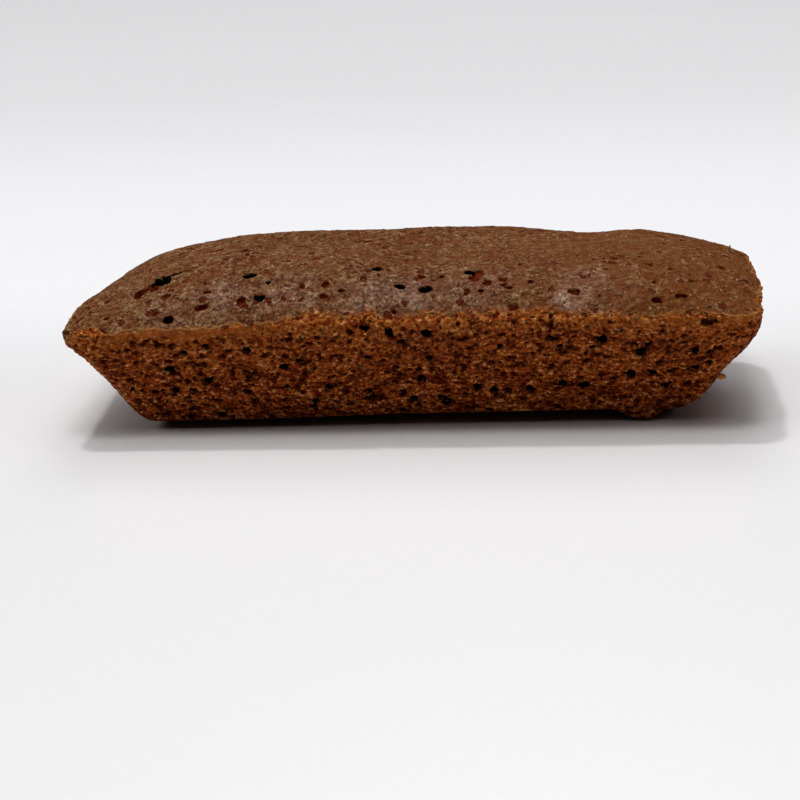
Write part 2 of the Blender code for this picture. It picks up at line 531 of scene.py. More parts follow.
def above_rim(points, tree):
    """How far each point is from the rim: above 0 on the crust, below 0 on the walls."""
    found = [tree.find(point) for point in points]
    apart = np.array([distance for _, _, distance in found])
    rim_height = np.array([where.z for where, _, _ in found])
    return np.where(points[:, 2] > rim_height, apart, -apart)


def fine_copy(name, grain):
    """The solid's surface as an even, fine mesh, with each vertex's height over the rim."""
    piece = merged_copy(name)
    tree = rim_tree(piece)
    apply_modifier(piece, "SUBSURF", levels=2, render_levels=2)
    apply_modifier(piece, "REMESH", mode="VOXEL", voxel_size=grain)
    piece.data.shade_smooth()
    points = read(piece)
    paint(piece, "height", above_rim(points, tree), limits=None)
    place(piece, settled(points))
    return piece


def outward(points, half_x=HALF_LENGTH, half_y=HALF_WIDTH):
    """The level direction that faces away from a rectangle with rounded corners."""
    x = points[:, 0] / half_x
    y = points[:, 1] / half_y
    way = np.stack([x * x**6 / half_x, y * y**6 / half_y], axis=1) + 1e-12
    return way / np.linalg.norm(way, axis=1, keepdims=True)


def settled(points):
    """The solid's points with the crisp, partly lifted foot and the small swellings."""
    points = points.copy()
    for centre, reach, move in SWELLINGS:
        near = np.exp(-((points - np.array(centre)) ** 2).sum(axis=1) / reach**2)
        points += near[:, None] * np.array(move)
    middle_x, middle_y = sum(FOOT_X) / 2, sum(FOOT_Y) / 2
    half_x, half_y = FOOT_X[1] - middle_x, FOOT_Y[1] - middle_y
    turn = math.tan(math.radians(FOOT_TURN))
    level = points - np.array((middle_x, middle_y, 0))
    level[:, 1] -= points[:, 0] * turn
    way = outward(level, half_x, half_y)
    weight = {
        "left": np.maximum(-way[:, 0], 0) ** 2,
        "right": np.maximum(way[:, 0], 0) ** 2,
        "front": np.maximum(-way[:, 1], 0) ** 2,
        "back": np.maximum(way[:, 1], 0) ** 2,
    }
    radius, filled, lift = (
        sum(weight[side] * FOOT_SIDES[side][column] for side in weight) for column in range(3)
    )
    x, z = points[:, 0], points[:, 2]
    low, high = FOOT_LUMP
    lump = stepped(low - 2.4, low + 1.0, x) * stepped(high + 2.6, high - 1.0, x)
    lift = lift * (1 - 0.85 * weight["front"] * lump)
    lift = lift * (1 - 0.3 * weight["front"] * stepped(5.0, -25.0, x))
    drop = np.clip(1 - np.maximum(z, lift) / radius, 0, 1)
    drawn_in = radius * (1 - np.sqrt(1 - drop**2))
    push = filled * drawn_in * np.clip(z / lift, 0, 1) ** 2 * stepped(6.0, 4.0, z)
    points[:, :2] += way * push[:, None]
    level[:, :2] += way * push[:, None]
    edge = np.minimum(half_x - np.abs(level[:, 0]), half_y - np.abs(level[:, 1])) + 0.6 * lift
    ramp = lift * (1 - edge / LIFT_REACH)
    points[:, 2] = np.where(z < 2 * MOST_LIFT, np.maximum(z, np.minimum(ramp, MOST_LIFT)), z)
    return points


def keep_only(piece, kept, start):
    """Deletes all but the kept vertices that hang together with the start vertex."""
    mesh = bmesh.new()
    mesh.from_mesh(piece.data)
    mesh.verts.ensure_lookup_table()
    seed = mesh.verts[start]
    gone = [v for v, keep in zip(mesh.verts, kept) if not keep]
    bmesh.ops.delete(mesh, geom=gone, context="VERTS")
    while True:
        pinched = [v for v in mesh.verts if sum(e.is_boundary for e in v.link_edges) > 2]
        if not pinched:
            break
        bmesh.ops.delete(mesh, geom=pinched, context="VERTS")
    bmesh.ops.delete(mesh, geom=[e for e in mesh.edges if e.is_wire], context="EDGES")
    joined, edge_of = {seed}, [seed]
    while edge_of:
        edge_of = [
            other
            for vertex in edge_of
            for other in (edge.other_vert(vertex) for edge in vertex.link_edges)
            if other not in joined and not joined.add(other)
        ]
    bmesh.ops.delete(mesh, geom=[v for v in mesh.verts if v not in joined], context="VERTS")
    mesh.to_mesh(piece.data)
    mesh.free()


def close_inside(piece, level):
    """Closes the open edge inside the cake: it is drawn in to a flat level and filled."""
    take(piece)
    bpy.ops.object.mode_set(mode="EDIT")
    bpy.ops.mesh.select_mode(type="EDGE")
    bpy.ops.mesh.select_all(action="DESELECT")
    bpy.ops.mesh.select_non_manifold()
    bpy.ops.mesh.extrude_edges_move()
    bpy.ops.object.mode_set(mode="OBJECT")
    chosen = np.empty(len(piece.data.vertices), bool)
    piece.data.vertices.foreach_get("select", chosen)
    points = read(piece)
    points[chosen] *= (1 - DRAW_IN / HALF_LENGTH, 1 - DRAW_IN / HALF_WIDTH, 0)
    points[chosen, 2] = level
    place(piece, points)
    bpy.ops.object.mode_set(mode="EDIT")
    bpy.ops.mesh.edge_face_add()
    bpy.ops.mesh.select_all(action="SELECT")
    bpy.ops.mesh.normals_make_consistent(inside=False)
    bpy.ops.object.mode_set(mode="OBJECT")


def thin_out(piece, triangles):
    """Brings a piece down to so many triangles, most of them where its relief is."""
    ratio = min(1.0, triangles / triangle_count(piece.data))
    apply_modifier(piece, "DECIMATE", ratio=ratio)
    piece.data.shade_smooth()


# ---------------------------------------------------------------- charts for the bake


def chart(piece, sides):
    """Gives a piece its own UV map. Each of the sides holds which faces it takes, the two
    coordinates of each vertex, their ranges, and the rectangle of the map that they fill."""
    mesh = piece.data
    layer = mesh.uv_layers.new(name="OFBake")
    face_of = np.repeat(np.arange(len(mesh.polygons)), [p.loop_total for p in mesh.polygons])
    vertex_of = np.empty(len(mesh.loops), np.int32)
    mesh.loops.foreach_get("vertex_index", vertex_of)
    places = np.zeros((len(mesh.loops), 2))
    for chosen, across, up, ranges, (left, low, right, high) in sides:
        corners = chosen[face_of]
        vertices = vertex_of[corners]
        spans = (across, ranges[0], left, right), (up, ranges[1], low, high)
        for column, (values, (first, last), start, end) in enumerate(spans):
            part = np.clip((values[vertices] - first) / (last - first), 0, 1)
            places[corners, column] = start + (end - start) * part
    layer.data.foreach_set("uv", places.astype(np.float32).ravel())


def face_places(piece):
    """The centre and the normal of each face, the centre in millimetres."""
    mesh = piece.data
    centres = np.empty(len(mesh.polygons) * 3, np.float32)
    normals = np.empty(len(mesh.polygons) * 3, np.float32)
    mesh.polygons.foreach_get("center", centres)
    mesh.polygons.foreach_get("normal", normals)
    return centres.reshape(-1, 3) / MM, normals.reshape(-1, 3)


# ---------------------------------------------------------------- the pieces


def worn_line(points):
    """How far above the rim the crust ends, at each point."""
    ragged = 0.1 + 0.3 * noise(points, 2.6, 11) + 0.3 * noise(points, 1.0, 12)
    return spotted(points, WORN_SPOTS, ragged)


def worn_depth(points):
    """0 where the crust's edge is whole, up to 1 where it is rubbed away."""
    rubbed = [spot for spot in WORN_SPOTS if spot[3] > 0]
    return np.clip(spotted(points, rubbed) / 1.2, 0, 1)


def cut_out(name, grain, side):
    """The part of the cake's skin below the crust's edge, where side is 1, or above it, where
    side is -1. It runs on a little way past that edge. With it come its points and normals,
    their heights over the rim, and the height of the crust's edge."""
    piece = fine_copy(name, grain)
    points = read(piece)
    past = side * (painted(piece, "height") - worn_line(points))
    keep_only(piece, past < SEAM_REACH, int((side * points[:, 2]).argmin()))
    points, height = read(piece), painted(piece, "height")
    piece.data.attributes.remove(piece.data.attributes["height"])
    return piece, points, read(piece, "normal"), height, worn_line(points)


def tucked(past, depth):
    """How deep the skin is sunk that runs on this far past the crust's edge."""
    return depth * np.clip(past / SEAM_REACH + 0.12, 0, 1.2) ** 1.2


def foam(points, normals, gold):
    """How deep the crumb's cut bubbles are at each point."""
    bent = points + 0.2 * warp(points, 0.6, 20) + 0.5 * warp(points, 5.0, 30)
    large, middle, small = (bubbles(bent, normals, *sort) for sort in CRUMB_BUBBLES)
    pores = np.maximum(large, middle) * (1 - 0.35 * gold)
    return np.minimum(np.maximum(pores, small), DEEPEST_PORE)


def wall_holes(points, normals, height):
    """How deep the walls' larger holes are at each point: the deep ones, painted dark inside as
    shade, and the front's shallow ones."""
    ragged = 0.3 * noise(points, 0.6, 70)
    way = outward(points)
    upright = height < 1.5
    front = (way[:, 1] < -0.7) & upright
    wall = points[front], normals[front], (0, 2)
    holes, shallow = np.zeros(len(points)), np.zeros(len(points))
    deep_marks = [mark for mark in FRONT_HOLES if mark[5] >= PAINTED_SHADE_DEPTH]
    other_marks = [mark for mark in FRONT_HOLES if mark[5] < PAINTED_SHADE_DEPTH]
    holes[front] = dents(*wall, deep_marks, ragged[front], LEANING)
    shallow[front] = dents(*wall, other_marks, 1.3 * ragged[front], LEANING)
    for number, (facing, along, reach, count) in enumerate(OTHER_WALLS):
        side = (way @ np.array(facing) > 0.7) & upright
        marks = scattered_holes(reach, count, 200 + number)
        wall = points[side], normals[side], (along, 2)
        holes[side] = np.maximum(holes[side], dents(*wall, marks, ragged[side], LEANING))
    return holes, shallow


def bake_crumb(grain, pore_depth, triangles):
    """The walls and the underside: an open foam with larger holes."""
    piece, points, normals, height, line = cut_out("crumb", grain, 1)
    sole = stepped(1.6, 0.9, points[:, 2]) * stepped(-0.75, -0.93, normals[:, 2])
    worn = worn_depth(points)
    reach = 0.9 + 1.6 * worn + 0.5 * noise(points, 1.6, 15)
    gold = stepped(-reach - 0.7, -reach + 0.5, height) * (0.7 + 0.3 * worn)
    # Painted light: the walls turn golden and lighter towards the top.
    gold = np.maximum(gold, 0.3 * stepped(6.0, 14.0, points[:, 2]))
    whole = stepped(-2.0, -0.7, height + 0.5 * noise(points, 1.5, 16)) * (1 - worn)
    pores = foam(points, normals, gold) * pore_depth
    pores *= (1 - 0.75 * sole) * (1 - 0.8 * whole)
    holes, shallow = wall_holes(points, normals, height)
    deep = np.maximum(np.maximum(pores, holes), shallow)

    heart, _ = granules(points + 0.12 * warp(points, 0.5, 75), 0.72, 76)
    lumps = 0.09 * noise(points, 3.0, 80) + 0.06 * noise(points, 0.9, 81)
    grit = 0.06 * noise(points, 0.42, 82) + (0.06 + 0.2 * gold) * np.minimum(heart, 0.5) * 2
    offset = (lumps - 0.08) * (1 - sole) + (grit - 0.1) * (1 - 0.7 * sole) - deep
    offset -= tucked(height - line, 0.9)
    place(piece, points + normals * offset[:, None])
    # The pores' depth: the material paints the deeper pores darker, as painted shade.
    paint(piece, "pit", np.maximum(pores, shallow) / 0.6)
    # Deep holes and the deepest pores are painted near black: painted shade.
    paint(piece, "hole", np.maximum(stepped(0.1, 0.6, holes), stepped(0.75, 1.1, pores)))
    paint(piece, "gold", gold)
    paint(piece, "rind", whole * stepped(0.4, -0.1, height))
    paint(piece, "sole", sole)
    flatten_base(piece)
    close_inside(piece, CRUMB_TOP)
    thin_out(piece, triangles)
    chart_crumb(piece)
    return piece


def chart_crumb(piece):
    """A chart for each of the four walls, for the underside, and for the hidden inner top."""
    centres, normals = face_places(piece)
    x, y, z = read(piece).T
    way = outward(centres)
    lid = (normals[:, 2] > 0.99) & (np.abs(centres[:, 2] - CRUMB_TOP) < 0.05)
    base = (normals[:, 2] < -0.8) & (centres[:, 2] < 2.5) & ~lid
    along_x = np.abs(way[:, 1]) >= np.abs(way[:, 0])
    walls = (
        (along_x & (way[:, 1] < 0), x, LONG_WAY, (0.005, 0.005, 0.995, 0.255)),
        (along_x & (way[:, 1] >= 0), x, LONG_WAY, (0.005, 0.265, 0.995, 0.515)),
        (~along_x & (way[:, 0] < 0), y, WIDE, (0.005, 0.525, 0.495, 0.765)),
        (~along_x & (way[:, 0] >= 0), y, WIDE, (0.505, 0.525, 0.995, 0.765)),
    )
    sides = [
        (facing & ~lid & ~base, across, z, (span, TALL), where)
        for facing, across, span, where in walls
    ]
    sides.append((base, x, y, (LONG_WAY, WIDE), (0.005, 0.775, 0.695, 0.995)))
    sides.append((lid, x, y, (LONG_WAY, WIDE), (0.705, 0.775, 0.995, 0.995)))
    chart(piece, sides)


def flatten_base(piece):
    """Nothing reaches below the surface that the cake stands on."""
    points = read(piece)
    points[:, 2] = np.maximum(points[:, 2], 0)
    place(piece, points)


def bake_crust(grain, triangles):
    """The domed top: a grainy skin with holes, pits and pricks, and a thin ridge at its edge that
    is painted lighter, as a highlight.
    """
    piece, points, normals, height, line = cut_out("crust", grain, -1)
    past = height - line
    worn = worn_depth(points)
    ragged = 0.3 * noise(points, 0.9, 110)
    holes = dents(points, normals, (0, 1), CRUST_HOLES, ragged, CRUST_MARKS)
    broken = 1.2 * dents(points, normals, (0, 1), CRUST_PITS, ragged * 1.5, CRUST_MARKS)
    bent = points + 0.3 * warp(points, 0.8, 120)
    pricks, fine = (bubbles(bent, normals, *sort) for sort in CRUST_PRICKS)
    patchy = stepped(-0.4, 0.2, noise(points, 4.0, 145))
    pores = np.minimum(np.maximum(pricks * patchy, 0.4 * fine), DEEPEST_PRICK)
    deep = np.maximum(np.maximum(pores, broken), holes)

    heart, tone = granules(points + 0.2 * warp(points, 0.6, 146), 0.7, 147)
    swell = 0.10 * noise(points, 6.0, 150) + 0.08 * noise(points, 2.2, 151)
    grain_relief = 0.05 * noise(points, 0.8, 152) + 0.05 * noise(points, 0.45, 153)
    grain_relief += 0.06 * np.minimum(heart, 0.5)
    ridge = 0.07 * np.exp(-(((past - 0.15) / 0.25) ** 2)) * (1 - worn)
    offset = swell + grain_relief + ridge - 0.08 - deep - tucked(-past, 0.8)
    place(piece, points + normals * offset[:, None])
    # Pricks and pits painted dark red: the moist crumb's colour with painted shade.
    paint(piece, "pit", np.maximum(stepped(0.1, 0.4, pores) * 0.9, stepped(0.03, 0.2, broken)))
    # The crust's holes are painted near black: painted shade.
    paint(piece, "hole", stepped(0.08, 0.25, holes))
    # The moist spots: their coat gives real gloss, and a pale film paints in their sheen.
    paint(piece, "moist", spotted(points, MOIST_SHEEN_SPOTS))
    # Along the crust's edge, on its small ridge: a painted highlight.
    lip = np.exp(-(((past - 0.15) / 0.24) ** 2)) * (1 - worn)
    paint(piece, "lip", lip * stepped(-0.7, -0.1, noise(points, 3.0, 160)))
    paint(piece, "wear", stepped(0.7 + 2.3 * worn, -0.4, past) * (0.3 + 0.7 * worn))
    paint(piece, "tone", tone)
    close_inside(piece, CRUST_FLOOR)
    thin_out(piece, triangles)
    chart_crust(piece)
    return piece


def chart_crust(piece):
    """One chart from above, with the steep edge spread out, and one for the hidden floor."""
    centres, _ = face_places(piece)
    points = read(piece)
    under = np.abs(centres[:, 2] - CRUST_FLOOR) < 0.05
    steep = np.clip(15.5 - points[:, 2], 0, 3)[:, None] * outward(points)
    seen, hidden = (points[:, :2] + steep).T, points[:, :2].T
    chart(
        piece,
        [
            (~under, *seen, CRUST_SPAN, (0.005, 0.125, 0.995, 0.995)),
            (under, *hidden, CRUST_SPAN, (0.005, 0.005, 0.995, 0.115)),
        ],
    )


def scatter_crumbs(count, seed):
    """Loose crumbs that cling to the walls and the crust."""
    crumb, crust = bpy.data.objects["crumb"], bpy.data.objects["crust"]
    rng = np.random.default_rng(seed)
    grains = []
    for source, share in ((crumb, WALL_SHARE), (crust, CRUST_SHARE)):
        points, normals = read(source), read(source, "normal")
        height, facing_up = points[:, 2], normals[:, 2]
        if source is crumb:
            low, high = WALL_CRUMBS
            useful = (height > low) & (height < high) & (facing_up < 0.3)
        else:
            useful = (height > CRUST_CRUMBS) & (facing_up > 0.2)
        chosen = rng.choice(np.flatnonzero(useful), int(count * share), replace=False)
        for index in chosen:
            size = 0.09 + 0.15 * rng.random() ** 2
            grains.append((points[index], normals[index], size, 0.0))
    for x, y, z, size in STUCK_CRUMBS:
        source = crumb if z < HIGHEST_ON_WALL else crust
        point, normal = nearest(source, (x, y, z))
        grains.append((point, normal, size, 1.0))
    pieces = []
    for point, normal, size, golden in grains:
        piece = one_crumb(point + normal * size * (0.35 + 0.4 * golden), size, rng)
        paint(piece, "golden", np.full(len(piece.data.vertices), golden))
        pieces.append(piece)
    take(pieces[0])
    for piece in pieces:
        piece.select_set(True)
    bpy.ops.object.join()
    joined = bpy.context.view_layer.objects.active
    joined.name = joined.data.name = "loose_crumbs"
    joined.data.shade_smooth()
    return joined


def nearest(piece, target):
    """The place and the normal of the vertex that lies nearest to a target."""
    points, normals = read(piece), read(piece, "normal")
    index = int(((points - np.array(target)) ** 2).sum(axis=1).argmin())
    return points[index], normals[index]


def one_crumb(centre, size, rng):
    """A small lump of uneven shape."""
    deselect_all()
    rounds = 2 if size > ROUND_CRUMB else 1
    bpy.ops.mesh.primitive_ico_sphere_add(subdivisions=rounds, radius=size * MM)
    piece = bpy.context.object
    points = read(piece)
    rough = 1 + 0.35 * noise(points + rng.uniform(0, 50, 3), 0.8 * size, 170)[:, None]
    squash = rng.uniform(0.7, 1.25, (1, 3))
    place(piece, centre + points * rough * squash)
    return piece


# ---------------------------------------------------------------- shader expressions


class Value:
    """A shader socket that takes part in Python's arithmetic."""

    def __init__(self, graph, socket):
        self.graph = graph
        self.socket = socket

    def beside(self, name):
        """Another output of the same node."""
        return Value(self.graph, self.socket.node.outputs[name])

    def _math(self, operation, first, second):
        values = {0: first, 1: second}
        return self.graph.node("ShaderNodeMath", {"operation": operation}, values)

    def __add__(self, other):
        return self._math("ADD", self, other)

    def __radd__(self, other):
        return self._math("ADD", other, self)

    def __sub__(self, other):
        return self._math("SUBTRACT", self, other)

    def __rsub__(self, other):
        return self._math("SUBTRACT", other, self)

    def __mul__(self, other):
        return self._math("MULTIPLY", self, other)

    def __rmul__(self, other):
        return self._math("MULTIPLY", other, self)


class Graph:
    """The node graph of one material."""

    def __init__(self, name):
        self.material = bpy.data.materials.new(name)
        self.material.use_nodes = True
        self.tree = self.material.node_tree
        self.shader = self.tree.nodes["Principled BSDF"]

    def node(self, kind, settings=None, values=None, output=0):
        """Adds a node: its settings first, then the values or links of its sockets."""
        made = self.tree.nodes.new(kind)
        for name, value in (settings or {}).items():
            if name == "ramp":
                self._set_ramp(made.color_ramp, value)
            else:
                setattr(made, name, value)
        for name, value in (values or {}).items():
            self.plug(made.inputs[name], value)
        return Value(self, made.outputs[output])

    def _set_ramp(self, ramp, stops):
        while len(ramp.elements) < len(stops):
            ramp.elements.new(1.0)
        for element, (position, colour) in zip(ramp.elements, stops):
            element.position = position
            element.color = (*colour, 1.0)

    def plug(self, socket, value):
        """Links a value to a socket, or sets the socket to a number or a colour."""
        if isinstance(value, Value):
            self.tree.links.new(value.socket, socket)
        elif socket.type == "RGBA" and len(value) == 3:
            socket.default_value = (*value, 1.0)
        else:
            socket.default_value = value

    def set(self, **sockets):
        """Feeds sockets of the shader, each named with _ for its spaces."""
        for name, value in sockets.items():
            self.plug(self.shader.inputs[name.replace("_", " ")], value)

    def places(self):
        """Where each point lies in the cake, in metres."""
        return self.node("ShaderNodeTexCoord", output="Object")

    def along(self, axis):
        """How far along an axis each point lies, in metres."""
        return self.node("ShaderNodeSeparateXYZ", values={"Vector": self.places()}, output=axis)

    def painted(self, name):
        """The numbers that paint stored on the mesh."""
        return self.node("ShaderNodeAttribute", {"attribute_name": name}, output="Fac")

    def blobs(self, size, detail=2.0, rough=0.55, stretch=(1, 1, 1)):
        """Noise from 0 to 1 with blobs of this size in millimetres."""
        at = self.places()
        if stretch != (1, 1, 1):
            scale = tuple(1 / part for part in stretch)
            at = self.node("ShaderNodeMapping", values={"Vector": at, "Scale": scale})
        values = {"Vector": at, "Scale": 1 / (size * MM), "Detail": detail, "Roughness": rough}
        return self.node("ShaderNodeTexNoise", values=values)

    def spread(self, noise, width):
        """Noise that keeps close to its middle, spread out to fill 0 to 1."""
        return self.step(0.5 - width, 0.5 + width, noise)

    def vector_math(self, operation, first, second=None, output=0):
        """Adds a Vector Math node for one or two vectors, or for a vector and a scale."""
        values = {0: first}
        if second is not None:
            values["Scale" if operation == "SCALE" else 1] = second
        return self.node("ShaderNodeVectorMath", {"operation": operation}, values, output)

    def fix(self, name, value):
        """Sets a value that is the same all over the surface."""
        self.shader.inputs[name].default_value = value

    def cells(self, size, ragged, stretch, salt):
        """Cells with uneven outlines: how far each point is from its cell's heart, and a
        number from 0 to 1 for each cell."""
        at = self.places()
        shake = self.node(
            "ShaderNodeTexNoise", values={"Vector": at, "Scale": 1 / (0.5 * MM)}, output="Color"
        )
        shake = self.vector_math("SUBTRACT", shake, (0.5, 0.5, 0.5))
        shake = self.vector_math("SCALE", shake, 4 * ragged * MM)
        at = self.vector_math("ADD", at, shake)
        values = {
            "Vector": at,
            "Location": (salt, salt, salt),
            "Scale": tuple(1 / (part * size * MM) for part in stretch),
        }
        at = self.node("ShaderNodeMapping", values=values)
        apart = self.node("ShaderNodeTexVoronoi", values={"Vector": at, "Scale": 1.0})
        sort = self.node(
            "ShaderNodeSeparateColor", values={"Color": apart.beside("Color")}, output="Red"
        )
        return apart, sort

    def grains(self, size, ragged, stretch=(1, 1, 1), salt=0.0):
        """Packed grains: 1 at the heart of each and 0 in the creases between them, and a
        tone from 0 to 1 for each grain."""
        apart, sort = self.cells(size, ragged, stretch, salt)
        return self.step(0.75, 0.15, apart), sort

    def pores(self, size, reach, vary, share, ragged, stretch=(1, 1, 1), salt=0.0):
        """Scattered round spots with ragged edges, 1 inside and 0 outside, and a ring round each
        of them, which the crust paints as a highlight.

        size is the spacing in millimetres and ragged how far the edge strays. reach, the
        smallest radius, and vary, what the largest adds, are shares of the spacing.
        """
        spots, sort = self.cells(size, ragged, stretch, salt)
        radius = sort * vary + reach
        there = self.node(
            "ShaderNodeMath", {"operation": "LESS_THAN"}, {0: sort.beside("Green"), 1: share}
        )
        inside = self.step(radius + 0.06, radius - 0.06, spots)
        edge = self.step(radius + 0.22, radius + 0.08, spots) - inside
        return inside * there, edge * there

    def step(self, low, high, value):
        """0 at low, 1 at high, smooth between."""
        settings = {"interpolation_type": "SMOOTHSTEP"}
        values = {"Value": value, "From Min": low, "From Max": high}
        return self.node("ShaderNodeMapRange", settings, values)

    def mix(self, factor, first, second):
        """A colour between two colours."""
        values = {0: factor, 6: first, 7: second}
        return self.node("ShaderNodeMix", {"data_type": "RGBA"}, values, output=2)

    def ramp(self, factor, *stops):
        """A colour picked from a run of colours, each at its place from 0 to 1."""
        return self.node("ShaderNodeValToRGB", {"ramp": stops}, {"Fac": factor})

    def bump(self, height, strength, distance):
        """A normal from a relief, its distance in millimetres."""
        values = {"Height": height, "Strength": strength, "Distance": distance * MM}
        return self.node("ShaderNodeBump", values=values)


def linear(colour):
    """A screen colour from 0 to 255 as the linear colour that shaders use."""
    parts = [part / 255 for part in colour]
    return tuple(
        part / 12.92 if part <= 0.04045 else ((part + 0.055) / 1.055) ** 2.4 for part in parts
    )


def rubbed_crumb(g, props):
    """The colours of the crumb where the rim is rubbed, the creases between its grains painted
    darker as shade, and its relief.
    """
    heart, tone = g.grains(0.7, 0.15, (1.15, 1.15, 0.85), salt=41.0)
    flakes = g.spread(g.blobs(0.9, 3.0, 0.6), 0.14)
    grit = g.spread(g.blobs(0.45, 2.0, 0.6), 0.12)
    # The grains' hearts are lighter and their creases darker: painted shade.
    grade = tone * 0.28 + heart * 0.27 + flakes * 0.18 + grit * 0.27
    colour = g.ramp(
        grade,
        (0.12, props.rubbed_pore),
        (0.32, props.rubbed_dark),
        (0.52, props.rubbed_mid),
        (0.72, props.rubbed_light),
        (0.92, props.rubbed_glint),
    )
    return colour, heart * 0.5 + flakes * 0.3


def crumb_material(props):
    """Packed grains from dark to golden brown, their creases painted darker as shade, a little
    lighter and more contrasty low down and golden towards the top as painted light, rubbed
    golden at the rim, with painted glints, and pores and holes painted dark as shade."""
    g = Graph("open crumb")
    pit, hole, gold, sole = (g.painted(name) for name in ("pit", "hole", "gold", "sole"))
    rind = g.painted("rind")
    # Near the bottom of the walls, where less light falls.
    low = g.step(0.013, 0.003, g.along("Z"))
    patches = g.spread(g.blobs(4.0), 0.1)
    sponge = g.spread(g.blobs(1.1, 3.0, 0.65, stretch=(1.3, 1.3, 0.75)), 0.14)
    grit = g.spread(g.blobs(0.5, 2.0, 0.6), 0.12)
    heart, tone = g.grains(0.55, 0.13, (1.25, 1.25, 0.8), salt=3.0)
    small, kind = g.grains(0.36, 0.1, (1.2, 1.2, 0.8), salt=13.0)
    # Small pores painted dark red-brown: painted shade, with a bump for their depth.
    shaded_pores, _ = g.pores(0.75, 0.2, 0.22, 0.6, 0.18, stretch=(1.3, 1.3, 0.75), salt=23.0)
    # Painted highlights: small light glints.
    glints, _ = g.pores(0.5, 0.12, 0.18, 0.3, 0.12, stretch=(1.3, 1.3, 0.8), salt=31.0)
    # The grains' hearts lighter and their creases darker: painted shade.
    grade = tone * 0.16 + heart * 0.16 + kind * 0.2 + small * 0.12
    grade = grade + sponge * 0.13 + grit * 0.15 + patches * 0.08
    # Painted light: the crumb is a little lighter and more contrasty low down, making up for the
    # dimmer light there.
    grade = (grade - 0.5) * (low * 0.15 + 1.35) + low * 0.04 + 0.53
    wall = g.ramp(
        grade,
        (0.14, props.crumb_pore_shade),
        (0.33, props.crumb_dark),
        (0.51, props.crumb_mid),
        (0.70, props.crumb_light),
        (0.90, props.crumb_painted_glint),
    )
    rubbed, rubbed_relief = rubbed_crumb(g, props)
    # Golden where the rim is rubbed, and towards the top as painted light.
    wall = g.mix(gold, wall, rubbed)
    wall = g.mix(rind * (grit * 0.3 + 0.35), wall, props.rubbed_mid)
    wall = g.mix(sole * 0.6, wall, props.sole_colour)
    wall = g.mix(glints * (grit * 0.6 + 0.4), wall, props.crumb_painted_glint)
    wall = g.mix(shaded_pores * (0.85 - gold * 0.5) * (1 - rind * 0.6), wall, props.crumb_pore_shade)
    # The mesh's deeper pores painted dark: painted shade.
    inside = g.step(0.12, 0.55, pit + (grit - 0.5) * 0.2)
    wall = g.mix(inside * 0.9, wall, props.crumb_pore_shade)
    # Painted shade: the deep holes near black.
    wall = g.mix(g.step(0.2, 0.5, hole + (grit - 0.5) * 0.2), wall, props.hole_shade_colour)
    g.set(Base_Color=wall, Roughness=0.55 + grit * 0.25)
    relief = heart * 0.5 + small * 0.3 + sponge * 0.4 + grit * 0.3 - shaded_pores * 0.7 + glints * 0.4
    relief = relief * (1 - gold) + rubbed_relief * gold
    g.set(Normal=g.bump(relief, 1.0, 0.25))
    g.fix("Specular IOR Level", 0.04)
    return g.material


